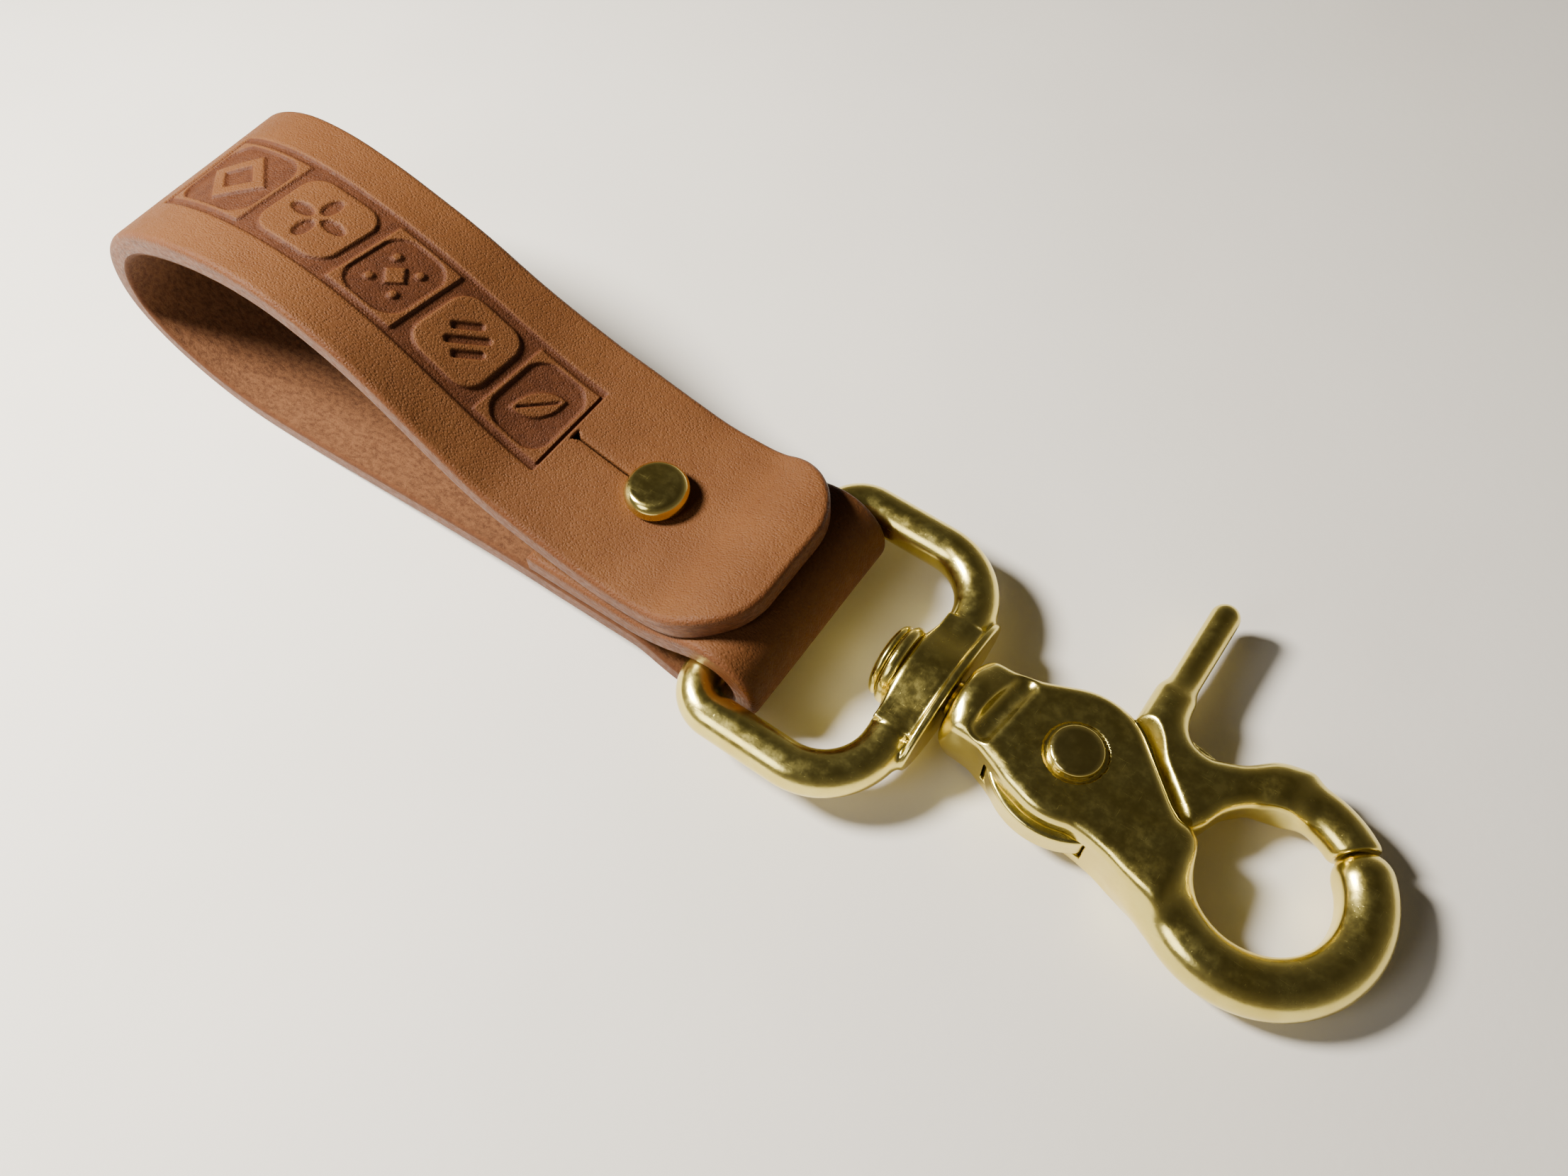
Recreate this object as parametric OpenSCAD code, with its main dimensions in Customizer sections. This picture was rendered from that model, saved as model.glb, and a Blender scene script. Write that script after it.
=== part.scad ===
// Leather belt-loop key fob with a solid brass swivel trigger snap.
// Origin: on the resting surface, straight below the middle of the eye's straight bar.
// +X runs along the strap toward the hook, +Y to the side the trigger lever is on, +Z up.

/* [Strap] */
// Width of the leather strap
strap_w = 25.4; // [24:0.1:25.8]
// Thickness of the leather
leather_t = 3; // [2.8:0.05:3.1]
// Distance from the eye's bar back to the stud
stud_back = 15.2; // [14.5:0.1:16]
// Distance from the eye's bar back to the far end of the belt loop
loop_back = 90; // [84:0.2:96]
// Height of the belt loop over the resting surface
loop_h = 31; // [28:0.2:34]
// Corner radius of the flap's end
flap_corner_r = 9; // [4:0.5:12]

/* [Stud] */
// Diameter of the stud's head
stud_d = 7.4; // [6.8:0.1:8.4]
// Diameter of the flat on top of the stud's head
stud_flat_d = 6; // [4.5:0.1:6.4]
// Height of the stud's head
stud_h = 2.4; // [2:0.1:3]
// Height that the base screw's head holds the leather up
screw_h = 2.4; // [2:0.1:2.6]

/* [Swivel eye] */
// Diameter of the eye's bar
bar_d = 5; // [4.6:0.1:5]
// Clear width inside the eye
eye_inner_w = 26.5; // [26.4:0.1:28]
// Distance from the straight bar to the middle of the front bar
eye_len = 20.15; // [20:0.05:20.4]
// Thickness of the front bar along the swivel axis
eye_boss_t = 5.9; // [5.4:0.1:6]

/* [Snap] */
// Nose-down tilt of the snap as it lies
tilt = 2.6; // [2.55:0.05:2.7]
// Radius of the swivel collar
collar_r = 4.95; // [4.6:0.05:5]
// Distance from the eye's bar to the trigger's pivot
pivot_x = 37.55; // [37.3:0.05:37.8]
// Half thickness of the body across its cheeks
cheek_z = 4.2; // [3.9:0.05:4.3]
// Radius of the hook's ring, to the middle of its bar
hook_ring_r = 9.9; // [9.7:0.05:10.1]
// Radius of the hook's bar
hook_bar_r = 3; // [2.8:0.05:3]
// Length of the trigger's lever, from the pivot to its tip
lever_l = 26; // [23:0.2:30]

/* [Fits] */
// Radial clearance of the running fits
run_fit = 0.05; // [0.03:0.01:0.08]
// Gap between pieces that lie against each other
lay_gap = 0.1; // [0.05:0.05:0.15]

/* [Hidden] */
$fn = 64;
brass = [0.72, 0.62, 0.3];
brass_bright = [0.8, 0.7, 0.38];
leather = [0.64, 0.4, 0.24];

// The strap's stack at the stud, from the bottom up
stud_x = -stud_back;
fold_r = 2.9;
fold_x = 0.9;
fold_mid_r = fold_r + leather_t / 2;
fold_z = leather_t + fold_r;
flange_h = 0.6;
flange_r = 3.9;
lower_z = screw_h + leather_t / 2;
tail_z = lower_z + leather_t + lay_gap;
flap_z = tail_z + leather_t + 2 * lay_gap + flange_h;
flap_over_fold_z = fold_z + fold_mid_r + leather_t + lay_gap + 0.1;
flap_end_x = 3.2;
tail_back = 9.5;
steps = 8;

// The hardware's frame: its axis runs through the bar, tilted nose down
bar_r = bar_d / 2;
bar_z = 6.15;
arm_y = eye_inner_w / 2 + bar_r;
rear_bend_r = 3.5;
front_bend_r = 7.5;
eye_in_x = eye_len - eye_boss_t / 2;
eye_out_x = eye_len + eye_boss_t / 2;
neck_gap = 1.3;
// The snap is drawn about the pivot, then set this far back and to the side in the eye
snap_back = 0.7;
snap_y = 0.5;
collar_x = eye_out_x + neck_gap;
post_r = 1.9;
post_l = 28.6;
washer_r = 4.6;
washer_t = 1.3;
rivet_head_r = 4.2;
rivet_head_t = 1.2;
washer_x = eye_in_x - lay_gap - washer_t;

// The snap's body, with its hook's ring centre beside the axis
cheek_r = 7.6;
slot_z = 1.75;
slot_r = 8.85;
hub_r = 8.6;
hub_z = 1.65;
pin_r = 1.5;
pin_head_r = 2.9;
pin_proud = 0.8;
hook_x = 59;
hook_y = 0.1;
hook_from = 200;
hook_tip = 37;
seam_gap = 0.28;
seam_x = 49.2;
seam_y = -0.3;

// The trigger
lever_r = 1.65;
lever_z = 0.5;
jaw_r = 2.45;
jaw_ring_r = 10.2;
trigger_z = 2.7;
spring_wire_r = 0.35;
spring_r = 3.35;

// Heading changes are split so that a smooth curve through two knots keeps an arc's roundness
function unit(a) = [cos(a), sin(a)];
function pull(p, q) = norm([q[0] - p[0], q[1] - p[1]]) / pow(cos((q[2] - p[2]) / 4), 2);
function curve_at(p, q, u) =
    let (m = pull(p, q), a = m * unit(p[2]), b = m * unit(q[2]))
    (2 * u ^ 3 - 3 * u ^ 2 + 1) * [p[0], p[1]] + (u ^ 3 - 2 * u ^ 2 + u) * a
    + (3 * u ^ 2 - 2 * u ^ 3) * [q[0], q[1]] + (u ^ 3 - u ^ 2) * b;
function slope_at(p, q, u) =
    let (m = pull(p, q), a = m * unit(p[2]), b = m * unit(q[2]))
    (6 * u ^ 2 - 6 * u) * [p[0], p[1]] + (3 * u ^ 2 - 4 * u + 1) * a
    + (6 * u - 6 * u ^ 2) * [q[0], q[1]] + (3 * u ^ 2 - 2 * u) * b;
function beside(p, q, u, d) =
    let (s = slope_at(p, q, u), n = [-s[1], s[0]] / norm(s))
    curve_at(p, q, u) + d * n;
// Both faces of a strip of leather whose middle runs through the knots [x, z, heading]
function strip(knots, t) =
    let (last = len(knots) - 1)
    let (up = [for (i = [0:last - 1], k = [0:steps - 1]) beside(knots[i], knots[i + 1], k / steps, t / 2)])
    let (down = [for (i = [0:last - 1], k = [0:steps - 1]) beside(knots[i], knots[i + 1], k / steps, -t / 2)])
    concat(up, [beside(knots[last - 1], knots[last], 1, t / 2)],
        [beside(knots[last - 1], knots[last], 1, -t / 2)],
        [for (i = [len(down) - 1:-1:0]) down[i]]);

// From the tail's end, round the eye's bar, back under the stud and round the belt loop
loop_knots = [
    [stud_x - tail_back, tail_z, 0],
    [stud_x + 4.5, tail_z, 0],
    [-4.6, fold_z + fold_mid_r - 1.7, 25],
    [-1.7, fold_z + fold_mid_r - 0.45, 20],
    [fold_x, fold_z + fold_mid_r, 0],
    [fold_x + fold_mid_r, fold_z, -90],
    [fold_x, fold_z - fold_mid_r, -180],
    [-3.2, fold_z - fold_mid_r, -180],
    [stud_x + 4.7, lower_z, -180],
    [stud_x - 5, lower_z, -180],
    [stud_x - 13, lower_z + 0.1, -178.5],
    [stud_x - 40, leather_t / 2 + 0.7, -175.5],
    [21 - loop_back, leather_t / 2, -180],
    [6.95 - loop_back, leather_t / 2 + 3.6, -212],
    [leather_t / 2 - loop_back, 0.42 * loop_h, -270],
    [8 - loop_back, loop_h - 6.5, -323.5],
    [24.5 - loop_back, loop_h - leather_t / 2, -360],
    [stud_x - 30, loop_h - 6.8, -387],
    [stud_x - 15.8, loop_h - 15, -388]
];
// From there down onto the stud's flange and over the fold
flap_knots = [
    [stud_x - 15.8, loop_h - 15, -28],
    [stud_x - 4.5, flap_z + 1.25, -14],
    [stud_x + 3, flap_z, 0],
    [-5.4, flap_over_fold_z - 1.9, 25],
    [-1.9, flap_over_fold_z - 0.45, 18],
    [1.2, flap_over_fold_z, 0],
    [flap_end_x, flap_over_fold_z, 0]
];

module across(w) {
    rotate([90, 0, 0]) linear_extrude(height = w, center = true) children();
}

module flap_plan() {
    straight_x = flap_end_x - flap_corner_r;
    translate([stud_x - 20, -strap_w / 2]) square([straight_x - stud_x + 20, strap_w]);
    translate([straight_x - 1, flap_corner_r - strap_w / 2])
        square([flap_corner_r + 1, strap_w - 2 * flap_corner_r]);
    for (side = [-1, 1])
        translate([straight_x, side * (strap_w / 2 - flap_corner_r)]) circle(r = flap_corner_r);
}

module strap() {
    hole_r = 2.3;
    slit_w = 0.5;
    slit_l = 11;
    color(leather) difference() {
        union() {
            across(strap_w) polygon(strip(loop_knots, leather_t));
            intersection() {
                across(strap_w) polygon(strip(flap_knots, leather_t));
                linear_extrude(height = loop_h) flap_plan();
            }
        }
        translate([stud_x, 0, -1]) cylinder(r = hole_r, h = loop_h);
        translate([stud_x - slit_l, -slit_w / 2, flap_z - 1.8]) cube([slit_l, slit_w, loop_h]);
    }
}

// Button stud: the head over the flap, the neck, and a base flange on the tail
module stud_head() {
    flange_z = tail_z + leather_t / 2 + 0.02;
    head_z = flap_z + leather_t / 2 + lay_gap;
    neck_r = 2.2;
    bore_r = 1.3;
    r = stud_d / 2;
    bevel = r - stud_flat_d / 2;
    color(brass) translate([stud_x, 0, 0]) difference() {
        rotate_extrude() polygon([
            [0, screw_h + 0.6],
            [neck_r, screw_h + 0.6],
            [neck_r, flange_z],
            [flange_r, flange_z],
            [flange_r, flange_z + flange_h],
            [neck_r, flange_z + flange_h],
            [neck_r, head_z],
            [r - 0.6, head_z],
            [r - 0.1, head_z + 0.5],
            [r, head_z + 0.9],
            for (a = [0:18:90]) [r - bevel * (1 - cos(a)), head_z + stud_h - bevel * (1 - sin(a))],
            [0, head_z + stud_h]
        ]);
        translate([0, 0, -1]) cylinder(r = bore_r, h = tail_z + leather_t);
    }
}

// Slotted screw that enters the stud from below
module stud_screw() {
    head_r = 4;
    shank_r = 1.25;
    slot_w = 1;
    slot_d = 0.9;
    color(brass) translate([stud_x, 0, 0]) difference() {
        union() {
            translate([0, 0, 0.4]) cylinder(r = head_r, h = screw_h - 0.45);
            cylinder(r1 = head_r - 0.5, r2 = head_r, h = 0.4);
            cylinder(r = shank_r, h = tail_z + 1);
        }
        translate([-5, -slot_w / 2, -1]) cube([10, slot_w, slot_d + 1]);
    }
}

// Moves what is drawn along the hardware's own axis to where the hardware lies
module hardware() {
    translate([0, 0, bar_z]) rotate([0, tilt, 0]) children();
}

// The snap sits a little to one side in the eye's bore, close up to the eye
module snap_frame() {
    hardware() translate([-snap_back, snap_y, 0]) children();
}

module along_x(x) {
    translate([x, 0, 0]) rotate([0, 90, 0]) children();
}

module eye_bend(x, y, r, start) {
    translate([x, y, 0]) rotate_extrude(angle = 90, start = start) translate([r, 0]) circle(r = bar_r);
}

module swivel_eye() {
    front_x = eye_len - 0.2;
    rear_y = arm_y - rear_bend_r;
    front_y = arm_y - front_bend_r;
    crease_y = 7.4;
    boss_r = 4.2;
    boss_z = 2.9;
    color(brass_bright) hardware() difference() {
        union() {
            rotate([90, 0, 0]) cylinder(r = bar_r, h = 2 * rear_y, center = true);
            translate([front_x, 0, 0]) rotate([90, 0, 0]) cylinder(r = bar_r, h = 2 * front_y, center = true);
            for (side = [0, 1]) mirror([0, side, 0]) {
                eye_bend(rear_bend_r, rear_y, rear_bend_r, 90);
                eye_bend(front_x - front_bend_r, front_y, front_bend_r, 0);
                translate([0, arm_y, 0]) along_x(rear_bend_r)
                    cylinder(r = bar_r, h = front_x - front_bend_r - rear_bend_r);
            }
            translate([eye_in_x, -crease_y, -boss_z]) cube([eye_boss_t, 2 * crease_y, 2 * boss_z]);
            translate([0, snap_y, 0]) along_x(eye_in_x) cylinder(r = boss_r, h = eye_boss_t);
        }
        translate([0, snap_y, 0]) along_x(0) cylinder(r = post_r + run_fit, h = 2 * eye_len);
    }
}

// The rivet whose domed head sits inside the eye, fixed in the snap's body
module swivel_rivet() {
    head_x = washer_x - 0.05;
    color(brass_bright) hardware() translate([0, snap_y, 0]) union() {
        along_x(head_x) mirror([0, 0, 1]) rotate_extrude() polygon([
            [0, 0],
            [rivet_head_r - 0.3, 0],
            [rivet_head_r, 0.3],
            [rivet_head_r - 0.1, 0.6],
            [rivet_head_r - 0.6, 0.95],
            [rivet_head_r - 1.6, rivet_head_t],
            [0, rivet_head_t]
        ]);
        along_x(head_x - 0.2) cylinder(r = post_r, h = post_l - snap_back - head_x);
    }
}

module swivel_washer() {
    color(brass_bright) hardware() translate([0, snap_y, 0]) along_x(washer_x) difference() {
        rotate_extrude() polygon([
            [0, 0],
            [washer_r - 0.4, 0],
            [washer_r, 0.4],
            [washer_r, washer_t - 0.4],
            [washer_r - 0.4, washer_t],
            [0, washer_t]
        ]);
        translate([0, 0, -1]) cylinder(r = post_r + run_fit, h = washer_t + 2);
    }
}

// Outline of the cheeks: the collar's end, the round about the pivot, the seam and the hook's root
module cheek_plan() {
    tangent = acos(cheek_r / norm([seam_x - pivot_x, seam_y])) + atan2(seam_y, seam_x - pivot_x);
    polygon([
        [collar_x + 1.2, 4.6],
        [28, 4.9],
        [31, 5.5],
        [33.2, 6.4],
        for (a = [112:-8:tangent]) [pivot_x, 0] + cheek_r * unit(a),
        [pivot_x, 0] + cheek_r * unit(tangent),
        [seam_x, seam_y],
        [50.3, seam_y],
        [51.3, -0.9],
        [51.7, -2.1],
        [51.8, -5.2],
        [51.2, -8.6],
        [48.9, -8.4],
        [46.8, -7.9],
        [44.6, -7.2],
        [42.2, -6.8],
        for (a = [-70:-10:-110]) [pivot_x, 0] + cheek_r * unit(a),
        [33.1, -6.5],
        [31, -5.6],
        [28.9, -4.9],
        [collar_x + 1.2, -4.4]
    ]);
}

module hook() {
    cap_l = 1.7;
    cap_r = 1.7;
    translate([hook_x, hook_y, 0]) {
        rotate_extrude(angle = 360 + hook_tip - hook_from, start = hook_from)
            translate([hook_ring_r, 0]) circle(r = hook_bar_r);
        rotate([0, 0, hook_tip]) translate([hook_ring_r, -0.1, 0]) rotate([-90, 0, 0]) {
            cylinder(r1 = hook_bar_r - 0.05, r2 = hook_bar_r - 0.25, h = cap_l / 2 + 0.1);
            translate([0, 0, cap_l / 2 + 0.1])
                cylinder(r1 = hook_bar_r - 0.25, r2 = cap_r, h = cap_l / 2);
        }
    }
}

// Where the trigger's flat hub and its root swing between the cheeks
module trigger_slot() {
    translate([0, 0, -slot_z]) {
        translate([pivot_x, 0, 0]) cylinder(r = slot_r, h = 2 * slot_z);
        linear_extrude(height = 2 * slot_z) polygon([
            [pivot_x, -3.2],
            [54, -3.2],
            [54, 12],
            [31.2, 12],
            [31.2, 4]
        ]);
    }
}

module snap_body() {
    waist_x = 28.4;
    dish_x = 29.6;
    dish_r = 1.1;
    color(brass_bright) snap_frame() difference() {
        union() {
            along_x(collar_x) rotate_extrude() polygon([
                [0, 0],
                [collar_r - 0.8, 0],
                [collar_r - 0.2, 0.5],
                [collar_r, 1.1],
                [collar_r, 1.9],
                [collar_r - 0.3, 2.8],
                [cheek_z + 0.15, waist_x - collar_x],
                [0, waist_x - collar_x]
            ]);
            translate([0, 0, -cheek_z]) linear_extrude(height = 2 * cheek_z) cheek_plan();
            hook();
        }
        trigger_slot();
        along_x(0) cylinder(r = post_r, h = post_l);
        translate([pivot_x, 0, -10]) cylinder(r = pin_r, h = 20);
        for (side = [0, 1]) mirror([0, 0, side])
            translate([dish_x, 0, cheek_z + 0.35]) rotate([90, 0, 0])
                cylinder(r = dish_r, h = 7.4, center = true);
    }
}

module trigger() {
    tip_y = lever_l - 1.2;
    lever_x = 42.9;
    jaw_end = 47;
    jaw_start = 98;
    fillet_r = 4.2;
    fillet_x = 48.6;
    fillet_y = 12.8;
    socket_gap = 0.15;
    pocket_gap = 0.3;
    color(brass) snap_frame() difference() {
        union() {
            translate([pivot_x, 0, -hub_z]) cylinder(r = hub_r, h = 2 * hub_z);
            // Web that joins the hub to the lever and the jaw, outside the cheeks
            translate([0, 0, -hub_z]) linear_extrude(height = 2 * hub_z) polygon([
                [pivot_x, 0],
                [49.5, 1.2],
                [54, 8],
                [lever_x - 1.3, 10]
            ]);
            difference() {
                translate([0, 0, -trigger_z]) linear_extrude(height = 2 * trigger_z) polygon([
                    [lever_x - lever_r, 6],
                    [lever_x - lever_r, 13],
                    [fillet_x - fillet_r, fillet_y],
                    for (a = [180:15:285]) [fillet_x, fillet_y] + fillet_r * unit(a),
                    [50.9, 9.7],
                    [54.2, 11.5],
                    [58.2, 12.6],
                    [58.2, 7.9],
                    [55, 6.9],
                    [52.7, 4.6],
                    [51.9, 2],
                    [50.7, 0.3],
                    [49.4, 0.25],
                    [42, 6]
                ]);
                translate([pivot_x, 0, -10]) cylinder(r = cheek_r + seam_gap, h = 20);
            }
            for (z = [-lever_z, lever_z]) translate([lever_x, 7.7, z]) {
                rotate([-90, 0, 0]) cylinder(r = lever_r, h = tip_y - 7.7);
                translate([0, tip_y - 7.7, 0]) sphere(r = lever_r);
            }
            translate([lever_x - lever_r, 7.7, -lever_z])
                cube([2 * lever_r, tip_y - 7.7, 2 * lever_z]);
            translate([hook_x, hook_y, 0])
                rotate_extrude(angle = jaw_start - jaw_end, start = jaw_end)
                    translate([jaw_ring_r, 0]) circle(r = jaw_r);
        }
        // Hollow in the jaw's end that the hook's tip rests in
        translate([hook_x + hook_ring_r * cos(hook_tip), hook_y + hook_ring_r * sin(hook_tip), 0])
            sphere(r = hook_bar_r + socket_gap);
        translate([pivot_x, 0, -10]) cylinder(r = pin_r + run_fit, h = 20);
        // Pocket for the spring, open to the lower cheek
        translate([pivot_x, 0, -hub_z - 1]) difference() {
            cylinder(r = spring_r + spring_wire_r + pocket_gap, h = 2 * hub_z + 0.2);
            translate([0, 0, -1]) cylinder(r = spring_r - spring_wire_r - pocket_gap, h = 6);
        }
    }
}

module pivot_rivet() {
    color(brass) snap_frame() translate([pivot_x, 0, 0]) union() {
        cylinder(r = pin_r, h = 2 * cheek_z + 0.04, center = true);
        translate([0, 0, cheek_z + 0.02]) rotate_extrude() polygon([
            [0, 0],
            [pin_head_r - 0.05, 0],
            [pin_head_r, 0.3],
            [pin_head_r - 0.15, 0.55],
            [pin_head_r - 0.55, pin_proud],
            [0, pin_proud]
        ]);
    }
}

// Coiled spring in the hub's pocket, drawn as its closed turns and one leg
module trigger_spring() {
    turns = 3;
    leg_l = 1.1;
    pitch = 2 * spring_wire_r - 0.02;
    color("silver") snap_frame() translate([pivot_x, 0, spring_wire_r - hub_z + 0.12]) union() {
        for (i = [0:turns - 1])
            translate([0, 0, i * pitch]) rotate_extrude() translate([spring_r, 0]) circle(r = spring_wire_r);
        translate([0, spring_r, 0]) rotate([0, 90, 0]) cylinder(r = spring_wire_r - 0.02, h = leg_l);
    }
}

strap();
stud_head();
stud_screw();
swivel_eye();
swivel_rivet();
swivel_washer();
snap_body();
trigger();
pivot_rivet();
trigger_spring();
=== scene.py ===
import math

import bpy
import numpy as np
from mathutils import Matrix


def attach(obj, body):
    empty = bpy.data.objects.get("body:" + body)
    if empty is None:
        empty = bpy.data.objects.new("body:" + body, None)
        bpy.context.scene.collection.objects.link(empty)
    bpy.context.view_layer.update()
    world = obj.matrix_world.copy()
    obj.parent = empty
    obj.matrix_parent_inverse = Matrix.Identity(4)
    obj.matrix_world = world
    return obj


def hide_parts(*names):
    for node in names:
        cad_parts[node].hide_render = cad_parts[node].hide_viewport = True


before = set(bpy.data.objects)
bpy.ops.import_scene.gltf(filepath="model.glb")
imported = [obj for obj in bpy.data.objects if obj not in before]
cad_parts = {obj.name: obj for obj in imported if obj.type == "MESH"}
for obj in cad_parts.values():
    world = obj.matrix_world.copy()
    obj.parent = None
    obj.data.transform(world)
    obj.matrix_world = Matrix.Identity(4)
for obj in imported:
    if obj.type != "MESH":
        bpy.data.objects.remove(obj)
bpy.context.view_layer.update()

# Shapes are worked out in millimetres and turned into metres when a mesh is made.
MM = 0.001

# ---------------------------------------------------------------- mesh tools


def make_object(name, verts, faces, normals=None):
    """A mesh object from points in mm and a list of faces with three or four corners each."""
    mesh = bpy.data.meshes.new(name)
    mesh.from_pydata((np.asarray(verts, float) * MM).tolist(), [], faces)
    mesh.polygons.foreach_set("use_smooth", [True] * len(mesh.polygons))
    mesh.update()
    if normals is not None:
        mesh.normals_split_custom_set_from_vertices(np.asarray(normals, float).tolist())
    obj = bpy.data.objects.new(name, mesh)
    bpy.context.scene.collection.objects.link(obj)
    return obj


def point_attribute(obj, name, kind, values):
    layer = obj.data.attributes.new(name, kind, "POINT")
    field = "vector" if kind == "FLOAT_VECTOR" else "value"
    layer.data.foreach_set(field, np.asarray(values, float).ravel())


# ------------------------------------------------------- the hardware's place

TILT = math.radians(2.6)
BAR_Z = 6.15
SNAP_BACK = 0.7
SNAP_Y = 0.5


def from_hardware(points):
    """Points on the snap's own axis, turned by the snap's tilt; lifting them to where the snap lies is left
    to the callers.
    """
    p = np.asarray(points, float)
    out = np.empty_like(p)
    out[:, 0] = p[:, 0] * math.cos(TILT) + p[:, 2] * math.sin(TILT)
    out[:, 1] = p[:, 1]
    out[:, 2] = p[:, 2] * math.cos(TILT) - p[:, 0] * math.sin(TILT)
    return out


# ------------------------------------------------------------ distance fields


def meet(a, b, k):
    """Both bodies, joined by a fillet of about k."""
    h = np.clip(0.5 + 0.5 * (b - a) / k, 0, 1)
    return b * (1 - h) + a * h - k * h * (1 - h)


def carve(a, b, k):
    """Body a without body b, with an edge rounded by about k."""
    return -meet(-a, b, k)


def within(*fields):
    """The part that lies inside every one of these."""
    out = fields[0]
    for field in fields[1:]:
        out = np.maximum(out, field)
    return out


def outline(x, y, points):
    """Signed distance to a closed outline in the plane."""
    far = np.full(np.broadcast(x, y).shape, 1e9)
    sign = np.ones(far.shape)
    for (ax, ay), (bx, by) in zip(points, points[-1:] + points[:-1]):
        ex, ey = bx - ax, by - ay
        wx, wy = x - ax, y - ay
        t = np.clip((wx * ex + wy * ey) / (ex * ex + ey * ey), 0, 1)
        far = np.minimum(far, (wx - ex * t) ** 2 + (wy - ey * t) ** 2)
        up, down, left = y >= ay, y < by, ex * wy > ey * wx
        flip = (up & down & left) | (~up & ~down & ~left)
        sign = np.where(flip, -sign, sign)
    return sign * np.sqrt(far)


class Plan:
    """A closed outline as a smooth distance field: its corners are softened by about soft."""

    STEP = 0.15

    def __init__(self, points, soft):
        corners = np.array(points, float)
        self.lo = corners.min(0) - 6
        count = ((corners.max(0) + 6 - self.lo) / self.STEP).astype(int) + 1
        x = self.lo[0] + self.STEP * np.arange(count[0])[:, None]
        y = self.lo[1] + self.STEP * np.arange(count[1])[None, :]
        grid = outline(x, y, points)
        for _ in range(int(2 * (soft / self.STEP) ** 2)):
            grid[1:-1] = (grid[:-2] + 2 * grid[1:-1] + grid[2:]) / 4
            grid[:, 1:-1] = (grid[:, :-2] + 2 * grid[:, 1:-1] + grid[:, 2:]) / 4
        self.grid = grid

    def __call__(self, x, y):
        u, v = (x - self.lo[0]) / self.STEP, (y - self.lo[1]) / self.STEP
        u = np.clip(u, 1.01, self.grid.shape[0] - 3.01)
        v = np.clip(v, 1.01, self.grid.shape[1] - 3.01)
        i, j = np.floor(u).astype(int), np.floor(v).astype(int)
        wu, wv = self.weights(u - i), self.weights(v - j)
        total = 0
        for a in range(4):
            for b in range(4):
                total = total + wu[a] * wv[b] * self.grid[i + a - 1, j + b - 1]
        return total

    @staticmethod
    def weights(t):
        return ((1 - t) ** 3 / 6, (3 * t**3 - 6 * t**2 + 4) / 6,
                (-3 * t**3 + 3 * t**2 + 3 * t + 1) / 6, t**3 / 6)


def slab(flat, z, half, r):
    """A flat outline given thickness, its edges rounded by r."""
    wx = flat + r
    wz = np.abs(z) - half + r
    return np.minimum(np.maximum(wx, wz), 0) + np.hypot(np.maximum(wx, 0), np.maximum(wz, 0)) - r


def capsule(x, y, z, a, b, r):
    ab = np.subtract(b, a)
    t = (x - a[0]) * ab[0] + (y - a[1]) * ab[1] + (z - a[2]) * ab[2]
    t = np.clip(t / np.dot(ab, ab), 0, 1)
    dx, dy, dz = x - a[0] - t * ab[0], y - a[1] - t * ab[1], z - a[2] - t * ab[2]
    return np.sqrt(dx * dx + dy * dy + dz * dz) - r


def arc_bar(x, y, z, centre, ring_r, bar_r, start, end):
    """A round bar bent along an arc, from start to end in degrees, with round ends."""
    middle = math.radians((start + end) / 2)
    half = math.radians((end - start) / 2)
    px, py = x - centre[0], y - centre[1]
    turn = np.arctan2(py, px) - middle
    turn = (turn + math.pi) % (2 * math.pi) - math.pi
    turn = np.clip(turn, -half, half) + middle
    dx, dy = px - ring_r * np.cos(turn), py - ring_r * np.sin(turn)
    return np.sqrt(dx * dx + dy * dy + z * z) - bar_r


def corner_sum(inside):
    total = 0
    for i in (0, 1):
        for j in (0, 1):
            for k in (0, 1):
                total = total + inside[i : inside.shape[0] - 1 + i, j : inside.shape[1] - 1 + j,
                                       k : inside.shape[2] - 1 + k].astype(np.int8)
    return total


def first_points(f, cells, lo, cell):
    """For every cell that the surface crosses, the mean of where it crosses the cell's edges."""
    total = np.zeros((len(cells), 3))
    count = np.zeros(len(cells))
    for axis in range(3):
        step = np.eye(3, dtype=int)[axis]
        u, v = np.eye(3, dtype=int)[(axis + 1) % 3], np.eye(3, dtype=int)[(axis + 2) % 3]
        for a in (0, 1):
            for b in (0, 1):
                start = cells + a * u + b * v
                end = start + step
                f0, f1 = f[tuple(start.T)], f[tuple(end.T)]
                cross = (f0 < 0) != (f1 < 0)
                t = np.where(cross, f0 / np.where(cross, f0 - f1, 1), 0)
                total += np.where(cross[:, None], start + t[:, None] * step, 0)
                count += cross
    return lo + cell * total / count[:, None]


def surface_quads(f, number):
    """The four cells round every grid edge that the surface crosses make one face."""
    quads = []
    inside = f < 0
    for axis in range(3):
        a = np.moveaxis(inside, axis, 0)
        n = np.moveaxis(number, axis, 0)
        cross = a[:-1, 1:-1, 1:-1] != a[1:, 1:-1, 1:-1]
        i, j, k = np.nonzero(cross)
        ring = [n[i, j, k], n[i, j + 1, k], n[i, j + 1, k + 1], n[i, j, k + 1]]
        quad = np.stack(ring, 1)
        out = a[i, j + 1, k + 1]
        if axis == 1:
            out = ~out
        quads.append(np.where(out[:, None], quad, quad[:, ::-1]))
    return np.concatenate(quads)


def slope(field, p):
    e = 0.02
    g = np.empty_like(p)
    for axis in range(3):
        q = p.copy()
        q[:, axis] += e
        high = field(*q.T)
        q[:, axis] -= 2 * e
        g[:, axis] = (high - field(*q.T)) / (2 * e)
    return g


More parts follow.
